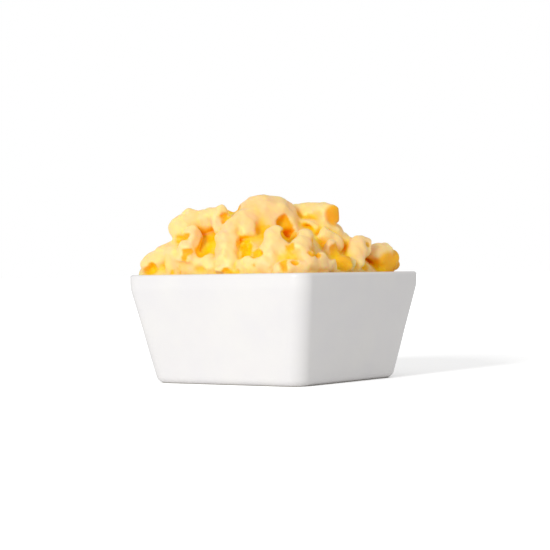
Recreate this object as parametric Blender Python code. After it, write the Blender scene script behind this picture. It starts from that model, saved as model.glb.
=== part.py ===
"""Mac and cheese, heaped in the square porcelain dish it is served in.

Metres, +Z up. The origin is under the middle of the dish, on the table, and the
dish's four sides face along X and Y. There are two pieces: the dish, and the food
as one solid out to its uneven outline.
"""

import math

import bmesh
import bpy
import numpy as np
from mathutils import Matrix, Vector

MM = 0.001

# The dish: a flared square tub whose wall turns upright just below the rim.
RIM_SIDE = 110 * MM
FOOT_SIDE = 90.6 * MM
DISH_HEIGHT = 54.7 * MM
FLARE = math.tan(math.radians(11.4))
UPRIGHT_FROM = 50.4 * MM
WALL = 4 * MM
FLOOR = 5 * MM
OUTER_CORNER = 8.5 * MM
INNER_CORNER = 5 * MM
LIP_ROUND = 1.6 * MM
FOOT_ROUND = 3.2 * MM
INSIDE_ROUND = 9 * MM

# The food: cooked elbow macaroni in a thick cheese sauce. The heap is a dome with a
# fuller shoulder and some lower ones, each given as millimetres to the right of and in
# front of its middle, seen from the serving side, then its rise and its width.
GAP = 0.3 * MM
WALL_GAP = 0.35 * MM
SERVING_SIDE = math.radians(35.2)
CROWN = 34.2 * MM
EDGE_RISE = 2.5 * MM
DOME_POWERS = (2.3, 0.8)
SHOULDERS = ((-41, 13, 8.5, 10), (42, -5, -10, 12), (29, 25, -6, 9), (62, -9, -5, 8))
SHOULDER_FADE = 6
SAUCE_BELOW = 5.0 * MM
SAUCE_LOWER_BEHIND = 2.2 * MM
BEHIND = 20 * MM

# The elbows that stand out, each by the arc of its middle line through three points,
# in millimetres to the right of, in front of and above the middle of the rim; then
# the radius of the tube.
PROUD_ELBOWS = (
    # left of the heap, from the corner of the dish upwards
    ((-63.5, 10, 3), (-57, 15, 8.5), (-44, 21, 11.5), 5.8),
    ((-46, 19, 24), (-35.5, 18.5, 26.5), (-25.5, 26, 27.3), 5.4),
    ((-39.5, 24, 20), (-41.5, 28, 15), (-43, 28.5, 7), 4.9),
    ((-23, 32, 19), (-23, 37, 12), (-24, 41, 0), 5.8),
    # the crown
    ((-14, 25, 29.5), (-13.5, 30, 23.5), (-13, 33.5, 17.5), 4.8),
    # front and right
    ((0.5, 43, 19), (0, 49, 14), (-2.5, 52, 7), 5.5),
    ((9, 5, 29.5), (20.5, 6, 30), (29.5, 13, 29.3), 5.4),
    ((16, 42.5, 18), (13.6, 49.5, 13.3), (10.6, 56, 9), 5.0),
    ((25.5, 12, 22.5), (31.5, 12, 17.5), (38, 11, 12.5), 4.5),
    ((22.5, 20.5, 19.5), (27.5, 20.5, 16), (32, 19, 11), 4.6),
    ((41.5, 20.5, 2), (41.3, 18, 10.5), (46.3, 13, 12.5), 5.6),
    ((49, 7, 6), (54.5, 1.5, 9), (58, -4.5, 1.5), 5.8),
    # along the rim in front
    ((-52, 19, 1.5), (-45, 24, 3.5), (-37, 29.5, 2), 4.9),
    ((-38, 29, 7), (-32, 33, 5.5), (-28, 35.5, 1), 4.8),
    ((-15, 44.5, 1.5), (-8.5, 50, 4.5), (0, 55.5, 2.5), 5.0),
    ((3, 58, 0.5), (8, 61, 2), (13, 57.5, 0.5), 4.6),
    ((13, 58, 4), (20.3, 50.5, 5.4), (26.5, 42, 2.5), 5.3),
    ((29, 37.5, 0.5), (33, 32, 3.5), (37, 27, 2), 4.8),
)

# Lumps of sauce, as right, front and up, and radius, in millimetres.
LUMPS = (
    ((-8.2, 13.5, 24.7), 14.0),
    ((23, 12, 23), 4.0),
    ((-1.5, 13.5, 24.9), 14.0),
    ((-14, 24, 24), 7.0),
    ((-19, 19, 24), 4.0),
    ((-27, 27, 22.5), 3.5),
    ((-20.5, 30, 22.5), 5.0),
    ((-48, 23, 9.5), 5.0),
    ((-47, 18, 23), 5.8),
    ((-43.5, 19, 31), 2.2),
    ((-26, 24, 32), 2.0),
    ((-64.5, 8.5, 0.5), 4.0),
    ((-6, 47, 12), 3.0),
    ((3.5, 52, 11), 3.5),
    ((55, 1, 2), 5.0),
)

# The other elbows, in layers: how far the middle of each lies below the heap's skin
# and the room its middle line keeps from others, in millimetres, half its bend in
# degrees, and how many places are tried.
TUCKED_LAYERS = ((3.4, 7.8, 56, 900), (5.0, 7.2, 50, 900), (6.8, 6.6, 42, 900), (8.6, 6.4, 34, 900))
TUCKED_SEED = 11
TUCKED_REACH = 0.94
LAID_BY_HAND = 12.0 * MM
TUBE = 4.8 * MM
BEND = 11.0 * MM
ROLLS = (0.3, 1.2, -1.2)
LEAN = 0.3
PITCH = 0.25
BEND_RANGE = (0.85, 1.2)
TUBE_RANGE = (0.94, 1.08)
HALF_SWEEP_SPREAD = 10
SUNK_SPREAD = 1 * MM
SQUARENESS = 6
GOLDEN_ANGLE = math.pi * (3 - math.sqrt(5))

SPARE = 2.5 * MM

# How finely the pieces are drawn.
DISH_CORNER_STEPS = 8
ROUND_STEPS = 5
TUBE_SIDES = 10
TUBE_END = ((0.0, 0.8), (0.3, 1.0))
LINE_POINTS = 9
HEAP_CORNER_STEPS = 4
HEAP_SIDE_STEPS = 8
SIDE_RINGS = 10
HEAP_RINGS = 16
HEAP_VOXEL = 1.6 * MM
HEAP_THINNING = 0.135


def clear_scene():
    for old in list(bpy.data.objects):
        bpy.data.objects.remove(old, do_unlink=True)


def outer_half(z):
    """Half of the dish's outside width at height z."""
    straight = FOOT_SIDE / 2 + FLARE * z
    turn = 2 * (FOOT_SIDE / 2 + FLARE * UPRIGHT_FROM - RIM_SIDE / 2) / FLARE
    into_turn = min(max(z - (UPRIGHT_FROM - turn), 0.0), turn)
    past_turn = max(z - UPRIGHT_FROM, 0.0)
    return straight - FLARE * into_turn ** 2 / (2 * turn) - FLARE * past_turn


def inner_half(z):
    return outer_half(z) - WALL


def rounded_square(half, corner, z, corner_steps, side_steps=1):
    """Points round a square with rounded corners, anticlockwise from above."""
    points = []
    for quarter in range(4):
        turn = quarter * math.pi / 2
        cos_turn, sin_turn = math.cos(turn), math.sin(turn)
        local = []
        for step in range(corner_steps + 1):
            angle = step / corner_steps * math.pi / 2
            local.append((half - corner + corner * math.cos(angle),
                          half - corner + corner * math.sin(angle)))
        for step in range(1, side_steps):
            share = step / side_steps
            local.append(((half - corner) * (1 - 2 * share), half))
        points += [(x * cos_turn - y * sin_turn, x * sin_turn + y * cos_turn, z) for x, y in local]
    return points


def loft(name, rings):
    """One closed body through the rings, from the middle of its underside to the
    middle of its last ring."""
    mesh = bmesh.new()
    loops = [[mesh.verts.new(point) for point in ring] for ring in rings]
    count = len(loops[0])
    for low, high in zip(loops, loops[1:]):
        for i in range(count):
            j = (i + 1) % count
            mesh.faces.new((low[i], low[j], high[j], high[i]))
    mesh.faces.new(list(reversed(loops[0])))
    mesh.faces.new(loops[-1])
    data = bpy.data.meshes.new(name)
    mesh.to_mesh(data)
    mesh.free()
    piece = bpy.data.objects.new(name, data)
    bpy.context.scene.collection.objects.link(piece)
    return piece


def finish_piece(piece, colour, roughness, sharp_angle):
    material = bpy.data.materials.new(piece.name)
    material.use_nodes = True
    shader = material.node_tree.nodes["Principled BSDF"]
    shader.inputs["Base Color"].default_value = (*colour, 1)
    shader.inputs["Roughness"].default_value = roughness
    shader.inputs["Metallic"].default_value = 0
    piece.data.materials.append(material)
    piece.data.shade_smooth()
    piece.data.set_sharp_from_angle(angle=math.radians(sharp_angle))


def wall_levels(low, high):
    """Heights to follow the wall at: few on the straight flare, more in its turn."""
    turn_start = UPRIGHT_FROM - 2 * (outer_half(0) + FLARE * UPRIGHT_FROM - RIM_SIDE / 2) / FLARE
    turn_steps = [turn_start + (UPRIGHT_FROM - turn_start) * i / ROUND_STEPS
                  for i in range(ROUND_STEPS + 1)]
    between = [z for z in turn_steps if low < z < high]
    return [low] + between + [high]


def dish():
    """Outside wall up from the foot, over the rounded lip and down the inside."""
    rings = []

    def ring(half, corner, z):
        rings.append(rounded_square(half, corner, z, DISH_CORNER_STEPS))

    quarter = [i / ROUND_STEPS * math.pi / 2 for i in range(ROUND_STEPS + 1)]
    for angle in quarter[:-1]:
        inset = FOOT_ROUND * (1 - math.sin(angle))
        z = FOOT_ROUND * (1 - math.cos(angle))
        ring(outer_half(z) - inset, OUTER_CORNER - inset, z)
    for z in wall_levels(FOOT_ROUND, DISH_HEIGHT - LIP_ROUND):
        ring(outer_half(z), OUTER_CORNER, z)
    for angle in quarter[1:]:
        inset = LIP_ROUND * (1 - math.cos(angle))
        z = DISH_HEIGHT - LIP_ROUND * (1 - math.sin(angle))
        ring(RIM_SIDE / 2 - inset, OUTER_CORNER - inset, z)
    for angle in reversed(quarter[1:]):
        outset = LIP_ROUND * (1 - math.cos(angle))
        z = DISH_HEIGHT - LIP_ROUND * (1 - math.sin(angle))
        ring(RIM_SIDE / 2 - WALL + outset, INNER_CORNER + outset, z)
    for z in reversed(wall_levels(FLOOR + INSIDE_ROUND, DISH_HEIGHT - LIP_ROUND)):
        ring(inner_half(z), INNER_CORNER, z)
    for angle in quarter[1:]:
        z = FLOOR + INSIDE_ROUND * (1 - math.sin(angle))
        inset = INSIDE_ROUND * (1 - math.cos(angle))
        ring(inner_half(z) - inset, INNER_CORNER, z)
    piece = loft("dish", rings)
    finish_piece(piece, (0.86, 0.86, 0.85), 0.12, 40)


def from_serving_side(right, front):
    """Plan position from distances to the right of and in front of the middle."""
    c, s = math.cos(SERVING_SIDE), math.sin(SERVING_SIDE)
    return right * c + front * s, right * s - front * c


def placed(point):
    right, front, up = point
    x, y = from_serving_side(right * MM, front * MM)
    return np.array((x, y, DISH_HEIGHT + up * MM))


def share_of_plan(x, y):
    """How far out a plan point lies: 0 in the middle, 1 at the wall, on outlines that
    are round in the middle and square at the wall."""
    ax, ay = abs(x) / inner_half(DISH_HEIGHT), abs(y) / inner_half(DISH_HEIGHT)
    share = max(ax, ay)
    for _ in range(12):
        power = 2 + 7 * min(share, 1) ** 3
        share = 0.5 * share + 0.5 * (ax ** power + ay ** power) ** (1 / power)
    return share


def heap_height(x, y):
    """Height of the heap above the rim without its lumps."""
    share = share_of_plan(x, y)
    steepness, roundness = DOME_POWERS
    dome = EDGE_RISE + (CROWN - EDGE_RISE) * max(1 - share ** steepness, 0) ** roundness
    inside = max(1 - share ** SHOULDER_FADE, 0)
    for right, front, rise, width in SHOULDERS:
        at_x, at_y = from_serving_side(right * MM, front * MM)
        away = (x - at_x) ** 2 + (y - at_y) ** 2
        dome += inside * rise * MM * math.exp(-away / (2 * (width * MM) ** 2))
    return dome


def heap_normal(x, y, step=0.5 * MM):
    height = heap_height(x, y)
    slope_x = (heap_height(x + step, y) - height) / step
    slope_y = (heap_height(x, y + step) - height) / step
    normal = np.array((-slope_x, -slope_y, 1.0))
    return normal / np.linalg.norm(normal)


def turned(heading, pitch, roll):
    """Rotation that lays an elbow: unturned, it runs along X and humps up along Z."""
    turn = (Matrix.Rotation(heading, 3, "Z") @ Matrix.Rotation(-pitch, 3, "Y")
            @ Matrix.Rotation(roll, 3, "X"))
    return np.array(turn)


def tilted_to(normal):
    """Rotation that carries straight up to the normal."""
    return np.array(Vector((0, 0, 1)).rotation_difference(Vector(normal)).to_matrix())


def arc(hump, turn, bend, half_sweep):
    """Middle line of an elbow, as points either way from the top of its bend."""
    angle = np.linspace(-half_sweep, half_sweep, LINE_POINTS)
    points = np.stack((np.sin(angle), np.zeros(LINE_POINTS), np.cos(angle) - 1), 1)
    return bend * points @ turn.T + hump


def arc_through(start, middle, end):
    """Middle line of the elbow that passes through three points."""
    a, b = start - middle, end - middle
    upright = np.cross(a, b)
    to_centre = np.cross(a.dot(a) * b - b.dot(b) * a, upright) / (2 * upright.dot(upright))
    centre = middle + to_centre
    bend = np.linalg.norm(to_centre)
    bisector = start + end - 2 * centre
    out = bisector / np.linalg.norm(bisector)
    along = (end - start) / np.linalg.norm(end - start)
    turn = np.stack((along, np.cross(out, along), out), 1)
    half_sweep = math.acos((start - centre).dot(out) / bend)
    return arc(centre + out * bend, turn, bend, half_sweep)


def settled(line, hump, tube, sunk):
    """The same line on the heap, inside the wall of the dish, its middle so far below
    the heap's skin."""
    over = np.abs(line[:, :2]).max(0) - (inner_half(DISH_HEIGHT) - tube + GAP)
    shift = -np.sign(hump[:2]) * np.maximum(over, 0)
    x, y = hump[:2] + shift
    return line + np.array((*shift, DISH_HEIGHT + heap_height(x, y) - sunk))


def tucked_elbows(laid):
    """Elbows over the rest of the heap, laid wherever there is still room: on top
    first, then deeper between those."""
    rng = np.random.default_rng(TUCKED_SEED)
    elbows = []
    taken = np.concatenate([line for line, tube in laid])
    for sunk, room, sweep, tries in TUCKED_LAYERS:
        for i in range(tries):
            reach = TUCKED_REACH * inner_half(DISH_HEIGHT) * math.sqrt((i + 0.5) / tries)
            c, s = math.cos(i * GOLDEN_ANGLE), math.sin(i * GOLDEN_ANGLE)
            squared = (abs(c) ** SQUARENESS + abs(s) ** SQUARENESS) ** (1 / SQUARENESS)
            hump = np.array((reach * c / squared, reach * s / squared, 0.0))
            roll = rng.choice(ROLLS) + rng.uniform(-LEAN, LEAN)
            lie = turned(rng.uniform(0, 2 * math.pi), rng.uniform(-PITCH, PITCH), roll)
            bend = BEND * rng.uniform(*BEND_RANGE)
            half_sweep = math.radians(sweep + rng.uniform(-HALF_SWEEP_SPREAD, HALF_SWEEP_SPREAD))
            tube = TUBE * rng.uniform(*TUBE_RANGE)
            deep = sunk * MM + rng.uniform(-SUNK_SPREAD, SUNK_SPREAD)
            line = arc(hump, tilted_to(heap_normal(*hump[:2])) @ lie, bend, half_sweep)
            line = settled(line, hump, tube, deep)
            x, y = line[LINE_POINTS // 2, :2]
            if x * math.sin(SERVING_SIDE) - y * math.cos(SERVING_SIDE) > LAID_BY_HAND:
                continue
            if np.min(np.linalg.norm(line[:, None] - taken, axis=2)) > room * MM:
                elbows.append((line, tube))
                taken = np.concatenate((taken, line))
    return elbows


def add_tube(mesh, line, radius):
    """A tube along the line with slightly rounded ends, as one closed shell."""
    line = [Vector(point) for point in line]
    rings = []
    turns = [2 * math.pi * k / TUBE_SIDES for k in range(TUBE_SIDES)]
    side = (line[1] - line[0]).orthogonal()
    last = len(line) - 1
    for i, point in enumerate(line):
        along = (line[min(i + 1, last)] - line[max(i - 1, 0)]).normalized()
        side = (side - along * side.dot(along)).normalized()
        up = along.cross(side)
        profile = ((0.0, 1.0),)
        if i == 0:
            profile = TUBE_END
        if i == last:
            profile = tuple((-inset, share) for inset, share in reversed(TUBE_END))
        for inset, share in profile:
            centre = point + along * inset * radius
            out = [(side * math.cos(t) + up * math.sin(t)) * radius * share for t in turns]
            rings.append([mesh.verts.new(centre + offset) for offset in out])
    for low, high in zip(rings, rings[1:]):
        for k in range(TUBE_SIDES):
            n = (k + 1) % TUBE_SIDES
            mesh.faces.new((low[k], low[n], high[n], high[k]))
    mesh.faces.new(list(reversed(rings[0])))
    mesh.faces.new(rings[-1])


def sauce_height(x, y):
    """Height of the sauce the elbows sit in, which is lower behind."""
    front = x * math.sin(SERVING_SIDE) - y * math.cos(SERVING_SIDE)
    behind = min(max((BEHIND - front) / BEHIND, 0), 1)
    return DISH_HEIGHT + heap_height(x, y) - SAUCE_BELOW - SAUCE_LOWER_BEHIND * behind


def smooth_core():
    """The food without its elbows, a little too wide for the dish below the rim."""
    rings = []
    low = FLOOR - SPARE
    high = DISH_HEIGHT - SAUCE_BELOW
    for step in range(SIDE_RINGS + 1):
        z = low + (high - low) * step / SIDE_RINGS
        half = inner_half(max(z, 0.0)) + SPARE
        rings.append(rounded_square(half, INNER_CORNER, z, HEAP_CORNER_STEPS, HEAP_SIDE_STEPS))
    for step in range(HEAP_RINGS):
        share = 1 - step / HEAP_RINGS
        half = inner_half(DISH_HEIGHT) * share
        corner = min(INNER_CORNER + 2 * half * (1 - share), half)
        plan = rounded_square(half, corner, 0, HEAP_CORNER_STEPS, HEAP_SIDE_STEPS)
        rings.append([(x, y, sauce_height(x, y)) for x, y, z in plan])
    return loft("macaroni_cheese", rings)


def largest_shell(mesh):
    """Deletes every shell but the largest, such as the walls of a shut pocket."""
    shells, left = [], set(mesh.verts)
    while left:
        shell, edge = set(), [left.pop()]
        while edge:
            vert = edge.pop()
            shell.add(vert)
            for other in (e.other_vert(vert) for e in vert.link_edges):
                if other in left:
                    left.discard(other)
                    edge.append(other)
        shells.append(shell)
    keep = max(shells, key=len)
    spare = [vert for shell in shells if shell is not keep for vert in shell]
    bmesh.ops.delete(mesh, geom=spare, context="VERTS")


def press_into_dish(vert):
    """Moves a point that the dish's inside wall or floor would hold back."""
    if vert.co.z > DISH_HEIGHT + LIP_ROUND:
        return
    z = max(vert.co.z, FLOOR + GAP)
    into_round = max(FLOOR + INSIDE_ROUND - z, 0.0)
    round_inset = INSIDE_ROUND - math.sqrt(max(INSIDE_ROUND ** 2 - into_round ** 2, 0.0))
    half = inner_half(min(z, DISH_HEIGHT)) - WALL_GAP - round_inset
    x, y = vert.co.x, vert.co.y
    straight = half - INNER_CORNER
    over_x, over_y = abs(x) - straight, abs(y) - straight
    if over_x > 0 and over_y > 0:
        reach = math.hypot(over_x, over_y)
        if reach > INNER_CORNER:
            x = math.copysign(straight + over_x * INNER_CORNER / reach, x)
            y = math.copysign(straight + over_y * INNER_CORNER / reach, y)
    x = math.copysign(min(abs(x), half), x)
    y = math.copysign(min(abs(y), half), y)
    vert.co = (x, y, z)


def heap():
    """The food: it fills the dish to its inner wall and rises above the rim."""
    core = smooth_core()
    mesh = bmesh.new()
    mesh.from_mesh(core.data)
    proud = [(arc_through(placed(start), placed(middle), placed(end)), tube * MM)
             for start, middle, end, tube in PROUD_ELBOWS]
    for line, tube in proud + tucked_elbows(proud):
        add_tube(mesh, line, tube)
    for point, radius in LUMPS:
        bmesh.ops.create_icosphere(mesh, subdivisions=2, radius=radius * MM,
                                   matrix=Matrix.Translation(placed(point)))
    mesh.to_mesh(core.data)
    mesh.free()

    merge = core.modifiers.new("merge", "REMESH")
    merge.mode = "VOXEL"
    merge.voxel_size = HEAP_VOXEL
    soften = core.modifiers.new("soften", "SMOOTH")
    soften.iterations = 3
    soften.factor = 0.5
    thin = core.modifiers.new("thin", "DECIMATE")
    thin.ratio = HEAP_THINNING
    evaluated = core.evaluated_get(bpy.context.evaluated_depsgraph_get())
    mesh = bmesh.new()
    mesh.from_mesh(evaluated.to_mesh())
    core.modifiers.clear()
    largest_shell(mesh)
    for vert in mesh.verts:
        press_into_dish(vert)
    mesh.to_mesh(core.data)
    mesh.free()
    finish_piece(core, (0.95, 0.60, 0.17), 0.4, 60)


def main():
    clear_scene()
    dish()
    heap()


main()
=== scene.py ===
"""Looks for the mac and cheese: the sauced elbow macaroni, the sauce they sit in, and
the white porcelain dish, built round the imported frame. Metres in the scene; the heap
itself is worked out in millimetres.
"""
import math

import bpy
import numpy as np
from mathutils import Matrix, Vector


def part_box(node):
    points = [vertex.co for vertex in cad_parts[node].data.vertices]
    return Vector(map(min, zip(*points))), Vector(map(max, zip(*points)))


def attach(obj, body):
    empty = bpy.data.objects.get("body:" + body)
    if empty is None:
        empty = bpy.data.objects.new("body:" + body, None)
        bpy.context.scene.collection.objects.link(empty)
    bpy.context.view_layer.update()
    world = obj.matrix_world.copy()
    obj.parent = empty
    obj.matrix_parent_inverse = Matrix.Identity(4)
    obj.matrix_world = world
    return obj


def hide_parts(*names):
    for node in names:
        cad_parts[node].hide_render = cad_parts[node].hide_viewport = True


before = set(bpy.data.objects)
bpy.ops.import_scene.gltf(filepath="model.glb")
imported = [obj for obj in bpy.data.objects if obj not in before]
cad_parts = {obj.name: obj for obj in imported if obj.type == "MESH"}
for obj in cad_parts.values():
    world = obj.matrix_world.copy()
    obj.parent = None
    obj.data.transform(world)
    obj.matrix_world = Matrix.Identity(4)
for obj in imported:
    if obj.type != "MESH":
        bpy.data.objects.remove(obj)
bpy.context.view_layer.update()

import openvdb
from mathutils import Vector

MM = 0.001
DISH_LOW, DISH_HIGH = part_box("dish")
FOOD_LOW, FOOD_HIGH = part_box("macaroni_cheese")
RIM = DISH_HIGH.z / MM
RIM_HALF = DISH_HIGH.x / MM
FOOD_TOP = FOOD_HIGH.z / MM

# The dish, in millimetres.
FOOT_HALF = 45.3
FLARE = math.tan(math.radians(11.4))
UPRIGHT_FROM = 50.4
WALL = 4.0
FLOOR = 5.0
OUTER_CORNER = 8.5
INNER_CORNER = 5.0
LIP_ROUND = 1.6
FOOT_ROUND = 3.2
INSIDE_ROUND = 9.0
INNER_HALF = RIM_HALF - WALL

# Where the dish is seen from: the serving side.
SERVING_SIDE = math.radians(35.2)
VIEW_DISTANCE = 0.907
VIEW_LENS = 115.9
VIEW_ROLL = math.radians(0.81)

# The heap, in millimetres: a dome with a fuller shoulder and a lower one, given as
# right of and in front of the middle, rise and width.
CROWN = 34.2
EDGE_RISE = 2.5
SHOULDERS = ((-41, 13, 8.5, 10), (42, -5, -10, 12), (29, 25, -6, 9), (62, -9, -5, 8))
HEAP_LOW = RIM - 9.0
HEAP_CORNER = 8.0
SAUCE_BELOW = 5.5
SAUCE_LOWER_BEHIND = 2.0
LAID_BY_HAND = 12.0
SAUCE_UNEVEN = 1.0
VOXEL = 0.6
BLEND = 1.5

# The macaroni, in millimetres: cooked elbows, coated in sauce.
TUBE = 4.8
TUBE_WALL = 1.9
BEND = 11.0
OPEN_END = 3.0

# The elbows laid by chance, in layers: how far the middle of each lies below the heap's
# skin, the room its middle line keeps from others, half its bend in degrees, and tries.
TUCKED_LAYERS = ((3.4, 7.8, 56, 900), (5.0, 7.2, 50, 900), (6.8, 6.6, 42, 900), (8.6, 6.4, 34, 900))

# The elbows that stand out, each by the arc of its middle line through three points,
# given as right of, in front of and above the middle of the rim; then the radius of
# the tube, and how deep it is seen to be open at each end.
PROUD_ELBOWS = (
    # left of the heap, from the corner of the dish upwards
    ((-63.5, 10, 3), (-57, 15, 8.5), (-44, 21, 11.5), 5.8, 0, 0),
    ((-46, 19, 24), (-35.5, 18.5, 26.5), (-25.5, 26, 27.3), 5.4, 0, 0),
    ((-39.5, 24, 20), (-41.5, 28, 15), (-43, 28.5, 7), 4.9, 0, 0),
    ((-23, 32, 19), (-23, 37, 12), (-24, 41, 0), 5.8, 0, 0),
    # the crown
    ((-14, 25, 29.5), (-13.5, 30, 23.5), (-13, 33.5, 17.5), 4.8, 0, 0),
    # front and right
    ((0.5, 43, 19), (0, 49, 14), (-2.5, 52, 7), 5.5, 0, 0),
    ((9, 5, 29.5), (20.5, 6, 30), (29.5, 13, 29.3), 5.4, 0, 0),
    ((16, 42.5, 18), (13.6, 49.5, 13.3), (10.6, 56, 9), 5.0, 0, 0),
    ((25.5, 12, 22.5), (31.5, 12, 17.5), (38, 11, 12.5), 4.5, 0, 0),
    ((22.5, 20.5, 19.5), (27.5, 20.5, 16), (32, 19, 11), 4.6, 0, 0),
    ((25, 32, 13), (30, 31, 9.5), (33, 28, 4), 4.3, 0, 0),
    ((41.5, 20.5, 2), (41.3, 18, 10.5), (46.3, 13, 12.5), 5.6, 0, 2.5),
    ((49, 7, 6), (54.5, 1.5, 9), (58, -4.5, 1.5), 5.8, 0, 0),
    # along the rim in front
    ((-52, 19, 1.5), (-45, 24, 3.5), (-37, 29.5, 2), 4.9, 0, 0),
    ((-38, 29, 7), (-32, 33, 5.5), (-28, 35.5, 1), 4.8, 0, 0),
    ((-15, 44.5, 1.5), (-8.5, 50, 4.5), (0, 55.5, 2.5), 5.0, 0, 0),
    ((3, 58, 0.5), (8, 61, 2), (13, 57.5, 0.5), 4.6, 0, 0),
    ((13, 58, 4), (20.3, 50.5, 5.4), (26.5, 42, 2.5), 5.3, 0, 2.5),
    ((29, 37.5, 0.5), (33, 32, 3.5), (37, 27, 2), 4.8, 0, 2.5),
)

# Lumps and peaks of sauce, as right, front and up, and radius.
LUMPS = (
    ((-8.2, 13.5, 24.7), 14.0),
    ((23, 12, 23), 4.0),
    ((-1.5, 13.5, 24.9), 14.0),
    ((-4.4, 23.5, 33.6), 1.4),
    ((-14, 24, 24), 7.0),
    ((-19, 19, 24), 4.0),
    ((-27, 27, 22.5), 3.5),
    ((-20.5, 30, 22.5), 5.0),
    ((-48, 23, 9.5), 5.0),
    ((-47, 18, 23), 5.8),
    ((-43.5, 19, 31), 2.2),
    ((-26, 24, 32), 2.0),
    ((-64.5, 8.5, 0.5), 4.0),
    ((-6, 47, 12), 3.0),
    ((3.5, 52, 11), 3.5),
    ((55, 1, 2), 5.0),
)

# Gaps and open ends cut into the heap; their insides are painted in the deeper sauce colour,
# painted shade for the hollow, partly thicker sauce. Each a rounded slot from one place
# to another, then its radius.
GAPS = (
    ((-64, 15.5, 1.5), (-61.5, 17, 3.5), 2.4),
    ((-47.5, 24, 18.5), (-44, 30, 18), 1.5),
    ((-45, 33, 8), (-44.5, 33, 10.5), 1.1),
    ((-44.5, 33, 10.5), (-41.5, 33, 11), 1.1),
    ((-24.5, 27.5, 28.6), (-24, 28.5, 26.3), 1.9),
    ((-21, -8, 34.5), (-20.5, 22, 33), 3.0),
    ((-52.5, -12, 19.5), (-52, 14, 19.5), 3.2),
    ((-31.5, 25.5, 19.5), (-35.5, 33, 11), 2.8),
    ((-24.5, 46, 1.5), (-19, 48.5, 0.5), 1.2),
    ((-14.5, 39.5, 14.5), (-14, 44, 10), 3.0),
    ((-9.5, 48.5, 11), (-8.5, 52.5, 9), 2.4),
    ((-6.5, 33, 22), (-7.5, 47.5, 14.5), 2.0),
    ((-5, 31, 24), (-0.5, 32, 23.5), 1.5),
    ((5.2, 27, 24.3), (6.5, 46, 16.5), 4.6),
    ((7, 31, 19.5), (7, 21, 19.5), 2.4),
    ((20.3, 44, 17.5), (19.8, 50, 10.5), 2.6),
    ((-14, 40, 16.5), (-14, 36, 16.5), 1.3),
    ((-9.5, 49, 10), (-9.5, 45, 10), 1.3),
    ((4, 61, 6.5), (4, 66, 1), 1.2),
    ((7.5, 55.5, 13), (7, 58.5, 8.5), 1.3),
    ((9.5, 63.5, 5.5), (9.5, 63, 5), 1.5),
    ((20, 56, 8.5), (20, 54, 8.5), 1.4),
    ((17.5, 58.5, 9), (17, 58, 9.5), 1.0),
    ((25, 47, 9), (34.5, 30, 12), 3.4),
    ((30.5, 41.5, 5), (34, 38, 3), 2.6),
    ((47, 18, 13.5), (47, 18, 13.5), 1.2),
    ((46, 20, 4.5), (46, 19, 3), 2.0),
    ((-48, 29, 0.5), (-47, 31, 4.5), 0.9),
    ((-51.5, 26, 1), (-51.5, 26, 1), 1.0),
    ((-10.5, 55.5, 5), (-10.5, 55.5, 4.5), 1.0),
)


# Painted shade: places where the deeper sauce colour is painted over elbows that lie in
# shade, partly thicker sauce there; as right, front and up, and radius.
SHADE_PAINTED_POOLS = (
    ((57, 6, 1.5), 8.5),
    ((62, -2, 7), 6.5),
    ((33, 34, 6), 6.5),
    ((29, 30, 9.5), 5.0),
    ((19.5, 49, 14), 3.6),
    ((18.5, 54, 10), 2.4),
    ((32.3, 15.4, 29.2), 6.3),
)


def turned(heading, pitch, roll):
    """Rotation that lays an elbow: unturned, it runs along X and humps up along Z."""
    ch, sh = math.cos(heading), math.sin(heading)
    cp, sp = math.cos(pitch), math.sin(pitch)
    cr, sr = math.cos(roll), math.sin(roll)
    about_z = np.array(((ch, -sh, 0), (sh, ch, 0), (0, 0, 1)))
    about_y = np.array(((cp, 0, -sp), (0, 1, 0), (sp, 0, cp)))
    about_x = np.array(((1, 0, 0), (0, cr, -sr), (0, sr, cr)))
    return about_z @ about_y @ about_x


def tilted_to(normal):
    """Rotation that carries straight up to the normal."""
    axis = np.cross((0.0, 0.0, 1.0), normal)
    k = np.array(((0, -axis[2], axis[1]), (axis[2], 0, -axis[0]), (-axis[1], axis[0], 0)))
    return np.eye(3) + k + k @ k / (1 + normal[2])


def smooth_min(a, b, width):
    near = np.maximum(width - np.abs(a - b), 0) / width
    return np.minimum(a, b) - near * near * width / 4


def smooth_max(a, b, width):
    return -smooth_min(-a, -b, width)


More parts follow.
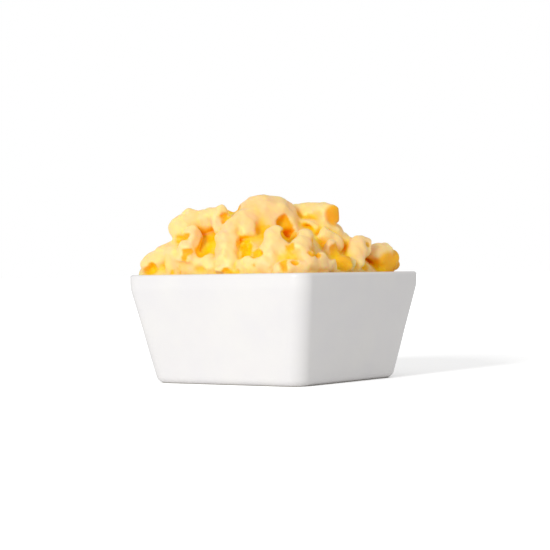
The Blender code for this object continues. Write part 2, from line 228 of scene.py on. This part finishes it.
class Elbow:
    """One cooked elbow: a bent tube, cut square, open for a way at each end."""

    def __init__(self, hump, turn, bend, half_sweep, tube=TUBE, open_ends=(0, 0)):
        self.hump = np.array(hump, float)
        self.turn = turn
        self.bend = bend
        self.half_sweep = half_sweep
        self.tube = tube
        self.open_ends = open_ends

    @classmethod
    def through(cls, start, middle, end, tube, open_ends):
        """The elbow whose middle line is the arc through three points."""
        a, b = start - middle, end - middle
        upright = np.cross(a, b)
        to_centre = np.cross(a.dot(a) * b - b.dot(b) * a, upright) / (2 * upright.dot(upright))
        centre = middle + to_centre
        bend = np.linalg.norm(to_centre)
        bisector = start + end - 2 * centre
        out = bisector / np.linalg.norm(bisector)
        along = (end - start) / np.linalg.norm(end - start)
        turn = np.stack((along, np.cross(out, along), out), 1)
        half_sweep = math.acos((start - centre).dot(out) / bend)
        return cls(centre + out * bend, turn, bend, half_sweep, tube, open_ends)

    def line(self, count=9):
        angle = np.linspace(-self.half_sweep, self.half_sweep, count)
        arc = np.stack((np.sin(angle), np.zeros(count), np.cos(angle) - 1), 1)
        return self.bend * arc @ self.turn.T + self.hump

    def distance(self, x, y, z, swell):
        """Signed distances to the elbow's skin and to its open bores, from places in
        its own axes; swell is how much its skin is raised there."""
        from_bend = z + self.bend
        to_line = np.sqrt((np.sqrt(x * x + from_bend * from_bend) - self.bend) ** 2 + y * y) - swell
        cos_end, sin_end = math.cos(self.half_sweep), math.sin(self.half_sweep)
        past_end = ((np.abs(x) - self.bend * sin_end) * cos_end
                    - (from_bend - self.bend * cos_end) * sin_end)
        body = smooth_max(to_line - self.tube, past_end, 2.0)
        bores = np.full(body.shape, np.inf)
        for side, depth in zip((-1, 1), self.open_ends):
            if depth:
                bore = np.maximum(to_line - (self.tube - TUBE_WALL), -(past_end + depth))
                bores = np.where(x * side > 0, bore, bores)
        # Painted shade: the inside of an open end, near its mouth, takes the deeper sauce colour.
        shade_and_sauce = np.where(past_end < 1, bores, np.inf)
        return smooth_max(body, -bores, 1.0), shade_and_sauce


def from_serving_side(right, front):
    """Plan position from distances to the right of and in front of the middle."""
    c, s = math.cos(SERVING_SIDE), math.sin(SERVING_SIDE)
    return right * c + front * s, right * s - front * c


def placed(point):
    right, front, up = point
    return np.array((*from_serving_side(right, front), RIM + up))


def proud_elbows():
    return [Elbow.through(placed(start), placed(middle), placed(end), tube, (low, high))
            for start, middle, end, tube, low, high in PROUD_ELBOWS]


def share_of_plan(x, y):
    """How far out a plan point lies: 0 in the middle, 1 at the wall, on outlines that
    are round in the middle and square at the wall."""
    ax, ay = np.abs(x) / INNER_HALF, np.abs(y) / INNER_HALF
    share = np.maximum(ax, ay)
    for _ in range(12):
        power = 2 + 7 * np.clip(share, 0, 1) ** 3
        share = 0.5 * share + 0.5 * (ax ** power + ay ** power) ** (1 / power)
    return share


def heap_height(x, y):
    """Height of the heap above the rim without its lumps."""
    share = share_of_plan(x, y)
    dome = EDGE_RISE + (CROWN - EDGE_RISE) * np.maximum(1 - share ** 2.3, 0) ** 0.8
    inside = np.maximum(1 - share ** 6, 0)
    for right, front, rise, width in SHOULDERS:
        at_x, at_y = from_serving_side(right, front)
        away = (x - at_x) ** 2 + (y - at_y) ** 2
        dome = dome + inside * rise * np.exp(-away / (2 * width ** 2))
    return dome


def heap_normal(x, y, step=0.5):
    height = heap_height(x, y)
    slope_x = (heap_height(x + step, y) - height) / step
    slope_y = (heap_height(x, y + step) - height) / step
    normal = np.array((-slope_x, -slope_y, 1.0))
    return normal / np.linalg.norm(normal)


def settled(elbow, sunk):
    """Puts an elbow on the heap, inside the wall of the dish, its middle so far below
    the heap's skin."""
    over = np.abs(elbow.line()[:, :2]).max(0) - (INNER_HALF - elbow.tube + 0.3)
    elbow.hump[:2] -= np.sign(elbow.hump[:2]) * np.maximum(over, 0)
    x, y = elbow.hump[:2]
    elbow.hump[2] = RIM + heap_height(x, y) - sunk
    return elbow


def tucked_elbows(laid, seed=11):
    """Elbows over the rest of the heap, laid wherever there is still room: on top
    first, then deeper between those."""
    rng = np.random.default_rng(seed)
    open_rng = np.random.default_rng(seed + 1)
    golden = math.pi * (3 - math.sqrt(5))
    elbows = []
    taken = np.concatenate([elbow.line() for elbow in laid])
    for sunk, room, sweep, tries in TUCKED_LAYERS:
        for i in range(tries):
            reach = 0.94 * INNER_HALF * math.sqrt((i + 0.5) / tries)
            c, s = math.cos(i * golden), math.sin(i * golden)
            squared = (abs(c) ** 6 + abs(s) ** 6) ** (1 / 6)
            x, y = reach * c / squared, reach * s / squared
            roll = rng.choice((0.3, 1.2, -1.2)) + rng.uniform(-0.3, 0.3)
            lie = turned(rng.uniform(0, 2 * math.pi), rng.uniform(-0.25, 0.25), roll)
            elbow = Elbow((x, y, 0), tilted_to(heap_normal(x, y)) @ lie, BEND * rng.uniform(0.85, 1.2),
                          math.radians(sweep + rng.uniform(-10, 10)), TUBE * rng.uniform(0.94, 1.08),
                          tuple(open_rng.choice((0, OPEN_END, OPEN_END), 2)))
            elbow = settled(elbow, sunk + rng.uniform(-1, 1))
            front = elbow.hump[0] * math.sin(SERVING_SIDE) - elbow.hump[1] * math.cos(SERVING_SIDE)
            if front > LAID_BY_HAND:
                continue
            line = elbow.line()
            if np.min(np.linalg.norm(line[:, None] - taken, axis=2)) > room:
                elbows.append(elbow)
                taken = np.concatenate((taken, line))
    return elbows


class HeapGrid:
    """Signed distances on a regular grid over the heap."""

    def __init__(self):
        self.low = np.array((-INNER_HALF - 4, -INNER_HALF - 4, HEAP_LOW - 2))
        high = np.array((INNER_HALF + 4, INNER_HALF + 4, FOOD_TOP + 4))
        self.count = np.ceil((high - self.low) / VOXEL).astype(int)
        self.x, self.y, self.z = (low + VOXEL * np.arange(n) for low, n in zip(self.low, self.count))
        self.field = np.zeros(self.count, np.float32)
        self.shade_and_sauce = np.zeros(self.count, np.float32)

        self.uneven = self.waves(7.0, 6, 12)

    def waves(self, size, seed, count):
        """Smooth noise over the grid, near -1 to 1."""
        rng = np.random.default_rng(seed)
        total = np.zeros(self.count, np.float32)
        x, y, z = (axis.astype(np.float32) for axis in (self.x, self.y, self.z))
        for _ in range(count):
            direction = rng.normal(size=3)
            direction *= 2 * math.pi / size / np.linalg.norm(direction) * rng.uniform(0.6, 1.4)
            phase = rng.uniform(0, 2 * math.pi)
            total += np.sin((direction[0] * x + phase)[:, None, None] + (direction[1] * y)[None, :, None]
                            + (direction[2] * z)[None, None, :], dtype=np.float32)
        return total / math.sqrt(count)

    def add_sauce(self):
        x, y = self.x[:, None], self.y[None, :]
        front = x * math.sin(SERVING_SIDE) - y * math.cos(SERVING_SIDE)
        behind = np.clip((20 - front) / 20, 0, 1)
        height = RIM + heap_height(x, y) - SAUCE_BELOW - SAUCE_LOWER_BEHIND * behind
        inside = 1 - np.clip(share_of_plan(x, y), 0, 1) ** 6
        plan = np.stack(np.broadcast_arrays(x, y, 0 * x), 2).reshape(-1, 3)
        height = height + SAUCE_UNEVEN * inside * ripple(plan, 13.0, 8).reshape(height.shape)
        slope_x, slope_y = np.gradient(height, VOXEL)
        slant = 1 / np.sqrt(1 + slope_x ** 2 + slope_y ** 2)
        above = self.z[None, None, :] - height[:, :, None]
        self.field = (above * slant[:, :, None]).astype(np.float32)
        below_skin = (RIM + heap_height(x, y)[:, :, None] - self.z[None, None, :]) * slant[:, :, None]
        # Painted shade: sauce more than 6 mm below the heap's skin, towards the back, takes part of the deeper
        # colour.
        self.recess_shade_behind = 0.7 * behind[:, :, None] * np.clip((below_skin - 6) / 2.5, 0, 1)

    def box_round(self, low, high):
        """The part of the grid that holds a box, as slices."""
        first = np.clip(((low - self.low) / VOXEL).astype(int), 0, self.count)
        last = np.clip(((high - self.low) / VOXEL).astype(int) + 1, 0, self.count)
        return tuple(slice(a, b) for a, b in zip(first, last))

    def away_from(self, place, part):
        return (self.x[part[0]][:, None, None] - place[0],
                self.y[part[1]][None, :, None] - place[1],
                self.z[part[2]][None, None, :] - place[2])

    def add_elbow(self, elbow):
        line = elbow.line()
        margin = elbow.tube + BLEND + 1
        part = self.box_round(line.min(0) - margin, line.max(0) + margin)
        away = self.away_from(elbow.hump, part)
        local = [sum(away[k] * elbow.turn[k, axis] for k in range(3)) for axis in range(3)]
        skin, shade_and_sauce = elbow.distance(*local, 0.35 * self.uneven[part])
        self.field[part] = smooth_min(self.field[part], skin, BLEND)
        self.shade_and_sauce[part] = np.where(skin < 0, 0, self.shade_and_sauce[part])
        # Painted shade and sauce: the open ends' insides join the deeper-colour mask.
        self.shade_and_sauce[part] = np.maximum(self.shade_and_sauce[part], shade_and_sauce < 0.7)

    def to_ball(self, point, radius):
        place = placed(point)
        part = self.box_round(place - radius - 5, place + radius + 5)
        x, y, z = self.away_from(place, part)
        return part, np.sqrt(x * x + y * y + z * z) - radius

    def open_gap(self, start, end, radius):
        a, b = placed(start), placed(end)
        part = self.box_round(np.minimum(a, b) - radius - 3, np.maximum(a, b) + radius + 3)
        away = self.away_from(a, part)
        run = b - a
        along = sum(away[k] * run[k] for k in range(3)) / max(run.dot(run), 1e-9)
        along = np.clip(along, 0, 1)
        slot = np.sqrt(sum((away[k] - along * run[k]) ** 2 for k in range(3))) - radius
        slot = slot - 0.5 * self.uneven[part]
        self.field[part] = smooth_max(self.field[part], -slot, min(radius, 2.0))
        # Painted shade: the slot's inside takes the deeper sauce colour.
        self.shade_and_sauce[part] = np.maximum(self.shade_and_sauce[part], slot < 0.7)

    def add_lump(self, point, radius):
        part, ball = self.to_ball(point, radius)
        self.field[part] = smooth_min(self.field[part], ball, 4.0)

    def pool(self, point, radius):
        part, ball = self.to_ball(point, radius)
        # Painted shade: fades the deeper sauce colour in over the ball.
        self.shade_and_sauce[part] = np.maximum(self.shade_and_sauce[part], np.clip(0.5 - ball / 2, 0, 1))

    def cut_to_dish(self):
        x, y, z = np.abs(self.x)[:, None, None], np.abs(self.y)[None, :, None], self.z[None, None, :]
        straight = inner_half(np.minimum(z, RIM)) + 0.3 - HEAP_CORNER
        over_x, over_y = x - straight, y - straight
        wall = (np.hypot(np.maximum(over_x, 0), np.maximum(over_y, 0))
                + np.minimum(np.maximum(over_x, over_y), 0) - HEAP_CORNER)
        wall = wall - 4 * np.maximum(z - RIM, 0)
        self.field = np.maximum(self.field, np.maximum(wall, HEAP_LOW - z)).astype(np.float32)

    def mesh(self):
        volume = openvdb.FloatGrid()
        volume.copyFromArray(self.field)
        points, triangles, quads = largest_part(*volume.convertToPolygons(isovalue=0.0, adaptivity=0.01))
        return points * VOXEL + self.low, triangles, quads

    def fullness(self, radius):
        """Share of the space within about the radius of each grid point that is food."""
        return blurred((self.field < 0).astype(np.float32), max(round(radius / VOXEL), 1))

    def sample(self, values, points):
        place = (points - self.low) / VOXEL
        first = np.clip(np.floor(place).astype(int), 0, self.count - 2)
        part = np.clip(place - first, 0, 1)
        total = np.zeros(len(points))
        for corner in range(8):
            bit = np.array([corner >> k & 1 for k in range(3)])
            weight = np.prod(np.where(bit, part, 1 - part), axis=1)
            total += weight * values[tuple((first + bit).T)]
        return total


def largest_part(points, triangles, quads):
    """Leaves out the small closed bits, such as air shut in under the sauce."""
    edges = np.concatenate((triangles[:, :2], triangles[:, 1:], quads[:, :2], quads[:, 1:3], quads[:, 2:]))
    part = np.arange(len(points))
    settling = True
    while settling:
        lowest = np.minimum(part[edges[:, 0]], part[edges[:, 1]])
        joined = part.copy()
        for side in (0, 1):
            np.minimum.at(joined, part[edges[:, side]], lowest)
            np.minimum.at(joined, edges[:, side], lowest)
        joined = joined[joined]
        settling = np.any(joined != part)
        part = joined
    kept = part == np.bincount(part).argmax()
    index = np.cumsum(kept) - 1
    return points[kept], index[triangles[kept[triangles[:, 0]]]], index[quads[kept[quads[:, 0]]]]


def blurred(values, width):
    """Box blur of a grid along each axis, twice."""
    for axis in (0, 1, 2, 0, 1, 2):
        count = values.shape[axis]
        before = np.take(values, [0] * (width + 1), axis)
        after = np.take(values, [-1] * width, axis)
        total = np.cumsum(np.concatenate((before, values, after), axis), axis, dtype=np.float64)
        high = np.take(total, np.arange(2 * width + 1, 2 * width + 1 + count), axis)
        low = np.take(total, np.arange(count), axis)
        values = ((high - low) / (2 * width + 1)).astype(np.float32)
    return values


def ripple(points, size, seed, waves=18):
    """Smooth noise of about the given wavelength, near -1 to 1, at points in mm."""
    rng = np.random.default_rng(seed)
    total = np.zeros(len(points))
    for _ in range(waves):
        direction = rng.normal(size=3)
        direction *= 2 * math.pi / size / np.linalg.norm(direction) * rng.uniform(0.6, 1.4)
        total += np.sin(points @ direction + rng.uniform(0, 2 * math.pi))
    return total / math.sqrt(waves)


def outer_half(z):
    """Half of the dish's outside width at height z."""
    turn = 2 * (FOOT_HALF + FLARE * UPRIGHT_FROM - RIM_HALF) / FLARE
    into_turn = np.clip(z - (UPRIGHT_FROM - turn), 0, turn)
    past_turn = np.maximum(z - UPRIGHT_FROM, 0)
    return FOOT_HALF + FLARE * z - FLARE * into_turn ** 2 / (2 * turn) - FLARE * past_turn


def inner_half(z):
    return outer_half(z) - WALL


def object_from(name, mesh, material):
    mesh.shade_smooth()
    mesh.materials.append(material)
    piece = bpy.data.objects.new(name, mesh)
    bpy.context.scene.collection.objects.link(piece)
    return piece


def mesh_from_arrays(name, points, triangles, quads):
    """A mesh straight from arrays, which is quicker than from lists."""
    mesh = bpy.data.meshes.new(name)
    mesh.vertices.add(len(points))
    mesh.vertices.foreach_set("co", points.astype(np.float32).ravel())
    corners = np.concatenate((triangles.ravel(), quads.ravel())).astype(np.int32)
    starts = np.concatenate((np.arange(len(triangles)) * 3,
                             len(triangles) * 3 + np.arange(len(quads)) * 4)).astype(np.int32)
    mesh.loops.add(len(corners))
    mesh.loops.foreach_set("vertex_index", corners)
    mesh.polygons.add(len(starts))
    mesh.polygons.foreach_set("loop_start", starts)
    mesh.update(calc_edges=True)
    mesh.validate()
    return mesh


def elbow_macaroni(material):
    """The elbows and the sauce on and between them, from the heap's skin down to a
    little below the rim."""
    grid = HeapGrid()
    grid.add_sauce()
    proud = proud_elbows()
    for elbow in tucked_elbows(proud):
        grid.add_elbow(elbow)
    for elbow in proud:
        grid.add_elbow(elbow)
    for point, radius in LUMPS:
        grid.add_lump(point, radius)
    for start, end, radius in GAPS:
        grid.open_gap(start, end, radius)
    for point, radius in SHADE_PAINTED_POOLS:
        grid.pool(point, radius)
    # Painted shade: the deep recesses at the back add to the deeper-colour mask.
    grid.shade_and_sauce = np.maximum(grid.shade_and_sauce, grid.recess_shade_behind)
    grid.field = 0.7 * grid.field + 0.3 * blurred(grid.field, 1)
    grid.cut_to_dish()
    points, triangles, quads = grid.mesh()
    mesh = mesh_from_arrays("elbow_macaroni", points * MM, triangles, quads)
    # The sauce colour's painted light and shade: how full the food is round each point, and the deeper-colour
    # mask.
    for name, values in (("near_fullness", grid.fullness(2.4)), ("wide_fullness", grid.fullness(6.0)),
                         ("painted_shade_and_sauce", grid.shade_and_sauce)):
        at_points = grid.sample(values, points).astype(np.float32)
        mesh.attributes.new(name, "FLOAT", "POINT").data.foreach_set("value", at_points)
    normals = np.zeros(len(points) * 3, np.float32)
    mesh.vertices.foreach_get("normal", normals)
    lumps = 0.45 * ripple(points, 9.0, 3) + 0.1 * ripple(points, 3.6, 5)
    moved = points + normals.reshape(-1, 3) * lumps[:, None]
    mesh.vertices.foreach_set("co", (moved * MM).astype(np.float32).ravel())
    mesh.update()
    return object_from("elbow_macaroni", mesh, material)


def linear(hex_colour):
    """sRGB hex to linear RGBA."""
    channels = [int(hex_colour[i:i + 2], 16) / 255 for i in (1, 3, 5)]
    return tuple(c / 12.92 if c <= 0.04045 else ((c + 0.055) / 1.055) ** 2.4 for c in channels) + (1.0,)


def add_node(tree, kind, settings=None, links=None, **inputs):
    """Adds a node, sets its own settings and its sockets, and links what feeds it."""
    node = tree.nodes.new(kind)
    for key, value in (settings or {}).items():
        setattr(node, key, value)
    for key, value in inputs.items():
        node.inputs[key.replace("_", " ")].default_value = value
    for key, source in (links or {}).items():
        tree.links.new(source, node.inputs[key])
    return node


def set_stops(ramp, stops):
    """Gives a colour ramp its stops, as positions and hex colours."""
    elements = ramp.color_ramp.elements
    while len(elements) < len(stops):
        elements.new(1.0)
    for element, (position, colour) in zip(elements, stops):
        element.position = position
        element.color = linear(colour)


def cheese_sauced_macaroni():
    """Pasta under thick cheese sauce, with light and shade painted into its base colour: pale
    cream where it stands proud, painted light for the light coming through the thin sauce
    there, and golden to orange in the gaps, painted shade for light that only arrives off
    other sauce, where the sauce is also thicker."""
    material = bpy.data.materials.new("cheese_sauced_macaroni")
    material.use_nodes = True
    tree = material.node_tree
    shader = tree.nodes["Principled BSDF"]
    place = add_node(tree, "ShaderNodeTexCoord").outputs["Object"]
    # Painted light and shade: the fuller the food round a point, the more golden its colour; crests pale,
    # hollows golden, partly thinner and thicker sauce.
    near = add_node(tree, "ShaderNodeAttribute", {"attribute_name": "near_fullness"})
    wide = add_node(tree, "ShaderNodeAttribute", {"attribute_name": "wide_fullness"})
    patches = add_node(tree, "ShaderNodeTexNoise", links={"Vector": place}, Scale=160.0, Detail=5.0)
    both = add_node(tree, "ShaderNodeMath", {"operation": "ADD"},
                    {0: near.outputs["Fac"], 1: wide.outputs["Fac"]})
    uneven = add_node(tree, "ShaderNodeMath", {"operation": "MULTIPLY_ADD"},
                      {0: patches.outputs["Fac"], 2: both.outputs[0]})
    uneven.inputs[1].default_value = 0.2
    # The deeper-colour mask: painted shade in gaps, open ends, pools and deep recesses, partly thicker sauce.
    bore = add_node(tree, "ShaderNodeAttribute", {"attribute_name": "painted_shade_and_sauce"})
    depth = add_node(tree, "ShaderNodeMapRange", links={"Value": uneven.outputs[0]},
                     From_Min=0.92, From_Max=1.72)
    sauce_crest_light_hollow_shade = add_node(tree, "ShaderNodeValToRGB", links={"Fac": depth.outputs[0]})
    set_stops(sauce_crest_light_hollow_shade, ((0.0, "#fad5a0"), (0.28, "#fad38a"), (0.45, "#fdd45a"), (0.6, "#ffd026"),
                       (1.0, "#fdb400")))
    # The deeper sauce colour, painted shade with partly thicker sauce, where that mask lies.
    deep_sauce_and_shade = add_node(tree, "ShaderNodeValToRGB", links={"Fac": depth.outputs[0]})
    set_stops(deep_sauce_and_shade, ((0.0, "#f6b430"), (0.35, "#ffc41a"), (0.7, "#ffd20c"), (1.0, "#fdae00")))
    ramp = add_node(tree, "ShaderNodeMix", {"data_type": "RGBA"},
                    {0: bore.outputs["Fac"], 6: sauce_crest_light_hollow_shade.outputs["Color"], 7: deep_sauce_and_shade.outputs["Color"]})
    tints = add_node(tree, "ShaderNodeTexNoise", links={"Vector": place}, Scale=95.0, Detail=1.0)
    tint = add_node(tree, "ShaderNodeValToRGB", links={"Fac": tints.outputs["Fac"]})
    set_stops(tint, ((0.38, "#fff4e6"), (0.62, "#fffde2")))
    colour = add_node(tree, "ShaderNodeMix", {"data_type": "RGBA", "blend_type": "MULTIPLY"},
                      {6: ramp.outputs[2], 7: tint.outputs["Color"]}, Factor=1.0)
    tree.links.new(colour.outputs[2], shader.inputs["Base Color"])
    lumps = add_node(tree, "ShaderNodeTexNoise", links={"Vector": place}, Scale=330.0, Detail=1.0)
    relief = add_node(tree, "ShaderNodeBump", links={"Height": lumps.outputs["Fac"]},
                      Strength=0.2, Distance=0.0005)
    tree.links.new(relief.outputs["Normal"], shader.inputs["Normal"])
    gloss = add_node(tree, "ShaderNodeMapRange", links={"Value": lumps.outputs["Fac"]},
                     To_Min=0.32, To_Max=0.5)
    tree.links.new(gloss.outputs[0], shader.inputs["Roughness"])
    sheen = add_node(tree, "ShaderNodeMapRange", links={"Value": bore.outputs["Fac"]},
                     To_Min=0.5, To_Max=0.2)
    tree.links.new(sheen.outputs[0], shader.inputs["Specular IOR Level"])
    shader.inputs["IOR"].default_value = 1.4
    thick = add_node(tree, "ShaderNodeMapRange", links={"Value": near.outputs["Fac"]},
                     From_Min=0.18, From_Max=0.4, To_Min=0.1, To_Max=0.85)
    tree.links.new(thick.outputs[0], shader.inputs["Subsurface Weight"])
    shader.inputs["Subsurface Radius"].default_value = (1.0, 0.5, 0.1)
    shader.inputs["Subsurface Scale"].default_value = 0.01
    return material


def white_porcelain():
    """Glazed porcelain: the glaze lies in very slight waves, which bend what it
    reflects, pools a little greyer in places, and is left off the foot, which is matt."""
    material = bpy.data.materials.new("glazed_white_porcelain")
    material.use_nodes = True
    tree = material.node_tree
    shader = tree.nodes["Principled BSDF"]
    place = add_node(tree, "ShaderNodeTexCoord").outputs["Object"]
    clouds = add_node(tree, "ShaderNodeTexNoise", links={"Vector": place}, Scale=45.0, Detail=3.0)
    glaze = add_node(tree, "ShaderNodeValToRGB", links={"Fac": clouds.outputs["Fac"]})
    set_stops(glaze, ((0.35, "#dcdada"), (0.65, "#dfdddb")))
    height = add_node(tree, "ShaderNodeSeparateXYZ", links={"Vector": place})
    bare = add_node(tree, "ShaderNodeMapRange", links={"Value": height.outputs["Z"]},
                    From_Min=0.0006, From_Max=0.0002)
    colour = add_node(tree, "ShaderNodeMix", {"data_type": "RGBA"},
                      {0: bare.outputs[0], 6: glaze.outputs["Color"]})
    colour.inputs[7].default_value = linear("#d2cdc4")
    tree.links.new(colour.outputs[2], shader.inputs["Base Color"])
    gloss = add_node(tree, "ShaderNodeMapRange", links={"Value": clouds.outputs["Fac"]},
                     To_Min=0.14, To_Max=0.26)
    matt = add_node(tree, "ShaderNodeMath", {"operation": "MULTIPLY_ADD"},
                    {0: bare.outputs[0], 2: gloss.outputs[0]})
    matt.inputs[1].default_value = 0.45
    tree.links.new(matt.outputs[0], shader.inputs["Roughness"])
    waves = add_node(tree, "ShaderNodeTexNoise", links={"Vector": place}, Scale=30.0, Detail=1.0)
    relief = add_node(tree, "ShaderNodeBump", links={"Height": waves.outputs["Fac"]},
                      Strength=0.12, Distance=0.0005)
    tree.links.new(relief.outputs["Normal"], shader.inputs["Normal"])
    return material


def rounded_square(half, corner, z, corner_steps=16):
    points = []
    for quarter in range(4):
        turn = quarter * math.pi / 2
        for step in range(corner_steps + 1):
            angle = step / corner_steps * math.pi / 2
            x = half - corner + corner * math.cos(angle)
            y = half - corner + corner * math.sin(angle)
            points.append((x * math.cos(turn) - y * math.sin(turn),
                           x * math.sin(turn) + y * math.cos(turn), z))
    return points


def loft(name, rings, material):
    """One closed body through the rings, from its underside to its last ring."""
    count = len(rings[0])
    faces = [tuple(reversed(range(count)))]
    for low in range(0, (len(rings) - 1) * count, count):
        for i in range(count):
            j = (i + 1) % count
            faces.append((low + i, low + j, low + count + j, low + count + i))
    faces.append(tuple(range((len(rings) - 1) * count, len(rings) * count)))
    mesh = bpy.data.meshes.new(name)
    mesh.from_pydata([tuple(c * MM for c in point) for ring in rings for point in ring], [], faces)
    return object_from(name, mesh, material)


def porcelain_dish(material):
    quarter = np.linspace(0, math.pi / 2, 9)
    rings = []
    for angle in quarter[:-1]:
        inset, z = FOOT_ROUND * (1 - math.sin(angle)), FOOT_ROUND * (1 - math.cos(angle))
        rings.append(rounded_square(outer_half(z) - inset, OUTER_CORNER - inset, z))
    for z in np.linspace(FOOT_ROUND, RIM - LIP_ROUND, 60):
        rings.append(rounded_square(outer_half(z), OUTER_CORNER, z))
    for angle in quarter[1:]:
        inset, z = LIP_ROUND * (1 - math.cos(angle)), RIM - LIP_ROUND * (1 - math.sin(angle))
        rings.append(rounded_square(RIM_HALF - inset, OUTER_CORNER - inset, z))
    for angle in reversed(quarter[1:]):
        outset, z = LIP_ROUND * (1 - math.cos(angle)), RIM - LIP_ROUND * (1 - math.sin(angle))
        rings.append(rounded_square(INNER_HALF + outset, INNER_CORNER + outset, z))
    for z in np.linspace(RIM - LIP_ROUND, FLOOR + INSIDE_ROUND, 20):
        rings.append(rounded_square(inner_half(z), INNER_CORNER, z))
    for angle in quarter[1:]:
        inset, z = INSIDE_ROUND * (1 - math.cos(angle)), FLOOR + INSIDE_ROUND * (1 - math.sin(angle))
        rings.append(rounded_square(inner_half(z) - inset, INNER_CORNER, z))
    dish = loft("porcelain_dish", rings, material)
    dish.data.set_sharp_from_angle(angle=math.radians(35))
    return dish


def cheese_sauce(material):
    """The sauce under the elbows, from the floor of the dish up into the heap."""
    rings = []
    for angle in np.linspace(0, math.pi / 2, 9)[:-1]:
        z = FLOOR + 0.3 + INSIDE_ROUND * (1 - math.cos(angle))
        inset = INSIDE_ROUND * (1 - math.sin(angle)) + 0.3
        rings.append(rounded_square(inner_half(z) - inset, INNER_CORNER, z))
    for z in np.linspace(FLOOR + 0.3 + INSIDE_ROUND, HEAP_LOW + 1, 8):
        rings.append(rounded_square(inner_half(z) - 0.3, INNER_CORNER, z))
    return loft("cheese_sauce", rings, material)


def studio_world():
    """An even white room, seen brighter than it lights, as a lit backdrop is."""
    world = bpy.data.worlds.new("studio")
    bpy.context.scene.world = world
    world.use_nodes = True
    tree = world.node_tree
    tree.nodes.clear()
    path = add_node(tree, "ShaderNodeLightPath")
    lit = add_node(tree, "ShaderNodeBackground", Color=(1, 1, 1, 1), Strength=0.645)
    seen = add_node(tree, "ShaderNodeBackground", Color=(1, 1, 1, 1), Strength=1.0)
    mix = add_node(tree, "ShaderNodeMixShader",
                   links={0: path.outputs["Is Camera Ray"], 1: lit.outputs[0], 2: seen.outputs[0]})
    add_node(tree, "ShaderNodeOutputWorld", links={"Surface": mix.outputs[0]})


def studio_floor():
    """White sweep that burns out to white away from the dish but keeps its shadow."""
    bpy.ops.mesh.primitive_plane_add(size=60)
    floor = bpy.context.object
    floor.name = "studio_floor"
    material = bpy.data.materials.new("white_sweep")
    material.use_nodes = True
    tree = material.node_tree
    tree.nodes.clear()
    place = add_node(tree, "ShaderNodeTexCoord").outputs["Object"]
    reach = add_node(tree, "ShaderNodeVectorMath", {"operation": "LENGTH"}, {0: place})
    seen = add_node(tree, "ShaderNodeMapRange", links={"Value": reach.outputs["Value"]},
                    From_Min=0.35, From_Max=0.9, To_Min=1.38, To_Max=2.4)
    path = add_node(tree, "ShaderNodeLightPath")
    gain = add_node(tree, "ShaderNodeMix", links={0: path.outputs["Is Camera Ray"], 3: seen.outputs[0]})
    gain.inputs[2].default_value = 0.95
    diffuse = add_node(tree, "ShaderNodeBsdfDiffuse", links={"Color": gain.outputs[0]})
    add_node(tree, "ShaderNodeOutputMaterial", links={"Surface": diffuse.outputs[0]})
    floor.data.materials.append(material)


def softbox(name, size, energy, bearing, rise, reach):
    """A round lamp aimed at the food; its bearing is from the serving side."""
    data = bpy.data.lights.new(name, "AREA")
    data.shape = "DISK"
    data.size = size
    data.energy = energy
    lamp = bpy.data.objects.new(name, data)
    bpy.context.scene.collection.objects.link(lamp)
    side, rise = SERVING_SIDE + math.radians(bearing), math.radians(rise)
    target = Vector((0, 0, RIM * MM))
    away = Vector((math.cos(rise) * math.sin(side), -math.cos(rise) * math.cos(side), math.sin(rise)))
    lamp.location = target + reach * away
    lamp.rotation_euler = away.to_track_quat("Z", "Y").to_euler()


def camera():
    data = bpy.data.cameras.new("camera")
    data.lens = VIEW_LENS
    data.sensor_width = 36
    view = bpy.data.objects.new("camera", data)
    bpy.context.scene.collection.objects.link(view)
    view.location = (VIEW_DISTANCE * math.sin(SERVING_SIDE), -VIEW_DISTANCE * math.cos(SERVING_SIDE), RIM * MM)
    view.rotation_euler = (math.radians(90 - 0.06), VIEW_ROLL, SERVING_SIDE)
    bpy.context.scene.camera = view


def place_piece(piece, node):
    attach(piece, "root")
    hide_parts(node)


def main():
    bpy.context.scene.view_settings.view_transform = "Standard"
    studio_world()
    studio_floor()
    softbox("key_softbox", 0.4, 23.0, -29, 19.5, 2.0)
    camera()
    place_piece(porcelain_dish(white_porcelain()), "dish")
    sauced = cheese_sauced_macaroni()
    place_piece(cheese_sauce(sauced), "macaroni_cheese")
    place_piece(elbow_macaroni(sauced), "macaroni_cheese")


main()
